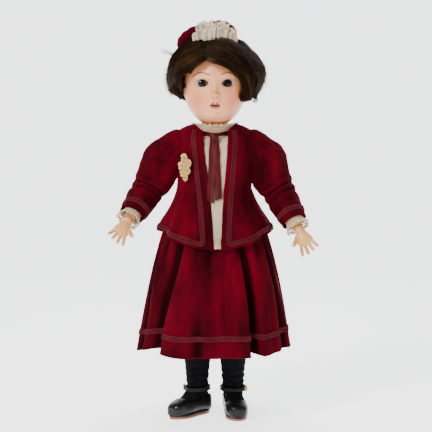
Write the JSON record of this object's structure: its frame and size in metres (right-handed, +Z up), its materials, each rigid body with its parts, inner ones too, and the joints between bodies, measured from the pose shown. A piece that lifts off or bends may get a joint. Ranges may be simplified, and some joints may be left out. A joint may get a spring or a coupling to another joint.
{
  "type": "girl doll",
  "caption": "Antique-style bisque-head girl doll with strung ball joints, sleep eyes and dark wig, in a red velvet suit, pleated skirt, small lace hat, black stockings and strap shoes.",
  "frame": {"origin": "on the floor midway under the standing doll, at the centre of its bounding box seen from above", "axes": "+Z up, -Y the way the doll faces, +X the doll's left hand side"},
  "size_m": [0.2967, 0.196, 0.5731],
  "materials": {
    "bisque": "satin unglazed porcelain with painted brows, lashes, lips and cheeks",
    "pate": "raw pressed board",
    "hair": "wavy dark brown hair",
    "velvet": "deep red velvet with dusty rose braid",
    "lace": "open cream lace",
    "satin": "ribbed satin ribbon",
    "linen": "fine cream cotton",
    "composition": "painted and varnished composition",
    "enamel": "glazed",
    "glass": "blown glass with a dark brown iris",
    "lead": "dull cast lead",
    "wire": "bent steel wire",
    "wood": "turned and sanded",
    "elastic": "cloth-covered cord",
    "knit": "fine black knit",
    "leather": "glossy black leather",
    "sole": "smooth brown leather",
    "brass": "stamped",
    "petals": "cream petals with gold stems"
  },
  "bodies": {
    "torso": {"torso": "composition", "jacket": "velvet", "skirt": "velvet", "petticoat": "linen", "blouse_front": "linen", "lace_collar": "lace", "neck_ribbon": "satin", "brooch": "petals", "arm_elastic": "elastic", "leg_elastic_right": "elastic", "leg_elastic_left": "elastic"},
    "neck": {"neck_button": "wood", "neck_hook": "wire"},
    "head": {"bisque_head": "bisque", "pate": "pate", "wig": "hair", "upper_teeth": "enamel", "hat_cap": "velvet", "hat_lace": "lace"},
    "eyes": {"eye_right": "glass", "eye_left": "glass", "eye_rocker": "wire", "eye_weight": "lead"},
    "shoulder_right": {"shoulder_ball_right": "wood"},
    "upper_arm_right": {"upper_arm_right": "composition", "sleeve_right": "velvet"},
    "forearm_right": {"forearm_right": "composition", "lace_cuff_right": "lace", "elbow_hook_right": "wire"},
    "hand_right": {"hand_right": "composition"},
    "thigh_right": {"thigh_right": "composition"},
    "shin_right": {"shin_right": "composition", "knee_hook_right": "wire", "stocking_right": "knit", "shoe_upper_right": "leather", "shoe_sole_right": "sole", "shoe_strap_right": "leather", "shoe_buckle_right": "brass"},
    "shoulder_left": {"shoulder_ball_left": "wood"},
    "upper_arm_left": {"upper_arm_left": "composition", "sleeve_left": "velvet"},
    "forearm_left": {"forearm_left": "composition", "lace_cuff_left": "lace", "elbow_hook_left": "wire"},
    "hand_left": {"hand_left": "composition"},
    "thigh_left": {"thigh_left": "composition"},
    "shin_left": {"shin_left": "composition", "knee_hook_left": "wire", "stocking_left": "knit", "shoe_upper_left": "leather", "shoe_sole_left": "sole", "shoe_strap_left": "leather", "shoe_buckle_left": "brass"}
  },
  "joints": [
    {"name": "neck_turn", "type": "hinge", "parent": "torso", "child": "neck", "pos_m": [0, 0, 0.424], "axis": [0, 0, 1], "range_deg": [-75, 75]},
    {"name": "head_nod", "type": "hinge", "parent": "neck", "child": "head", "pos_m": [0, 0, 0.424], "axis": [1, 0, 0], "range_deg": [-10, 8], "deforming": ["lace_collar"]},
    {"name": "eyes_sleep", "type": "hinge", "parent": "head", "child": "eyes", "pos_m": [0, -0.031, 0.481], "axis": [1, 0, 0], "range_deg": [0, 50]},
    {"name": "arm_swing_right", "type": "hinge", "parent": "torso", "child": "shoulder_right", "pos_m": [-0.057, 0, 0.392], "axis": [-1, 0, 0], "range_deg": [-30, 110], "deforming": ["sleeve_right", "arm_elastic"]},
    {"name": "arm_raise_right", "type": "hinge", "parent": "shoulder_right", "child": "upper_arm_right", "pos_m": [-0.057, 0, 0.392], "axis": [0, 1, 0], "range_deg": [-18, 55], "deforming": ["arm_elastic"]},
    {"name": "elbow_bend_right", "type": "hinge", "parent": "upper_arm_right", "child": "forearm_right", "pos_m": [-0.09783, 0, 0.3279], "axis": [-0.8434, 0, 0.5373], "range_deg": [-42, 45], "deforming": ["sleeve_right"]},
    {"name": "wrist_turn_right", "type": "hinge", "parent": "forearm_right", "child": "hand_right", "pos_m": [-0.12419, -0.04416, 0.28654], "axis": [-0.3993, -0.6691, -0.6268], "range_deg": [-80, 80]},
    {"name": "arm_swing_left", "type": "hinge", "parent": "torso", "child": "shoulder_left", "pos_m": [0.057, 0, 0.392], "axis": [-1, 0, 0], "range_deg": [-30, 110], "deforming": ["sleeve_left", "arm_elastic"]},
    {"name": "arm_raise_left", "type": "hinge", "parent": "shoulder_left", "child": "upper_arm_left", "pos_m": [0.057, 0, 0.392], "axis": [0, -1, 0], "range_deg": [-14, 60], "deforming": ["arm_elastic"]},
    {"name": "elbow_bend_left", "type": "hinge", "parent": "upper_arm_left", "child": "forearm_left", "pos_m": [0.09268, 0, 0.3249], "axis": [-0.8829, 0, -0.4695], "range_deg": [-30, 55], "deforming": ["sleeve_left"]},
    {"name": "wrist_turn_left", "type": "hinge", "parent": "forearm_left", "child": "hand_left", "pos_m": [0.11951, -0.033, 0.27443], "axis": [0.4066, -0.5, -0.7647], "range_deg": [-80, 80]},
    {"name": "hip_swing_right", "type": "hinge", "parent": "torso", "child": "thigh_right", "pos_m": [-0.0265, 0, 0.266], "axis": [-0.9292, 0.3697, 0], "range_deg": [-5, 70], "deforming": ["skirt", "petticoat", "jacket", "blouse_front", "leg_elastic_right"]},
    {"name": "knee_bend_right", "type": "hinge", "parent": "thigh_right", "child": "shin_right", "pos_m": [-0.0265, 0, 0.158], "axis": [0.7431, -0.6691, 0], "range_deg": [0, 70], "deforming": ["stocking_right"]},
    {"name": "hip_swing_left", "type": "hinge", "parent": "torso", "child": "thigh_left", "pos_m": [0.0265, 0, 0.266], "axis": [-0.9903, -0.1392, 0], "range_deg": [-5, 70], "deforming": ["skirt", "petticoat", "jacket", "blouse_front", "leg_elastic_left"]},
    {"name": "knee_bend_left", "type": "hinge", "parent": "thigh_left", "child": "shin_left", "pos_m": [0.0265, 0, 0.158], "axis": [0.9903, 0.1392, 0], "range_deg": [0, 70], "deforming": ["stocking_left"]}
  ]
}
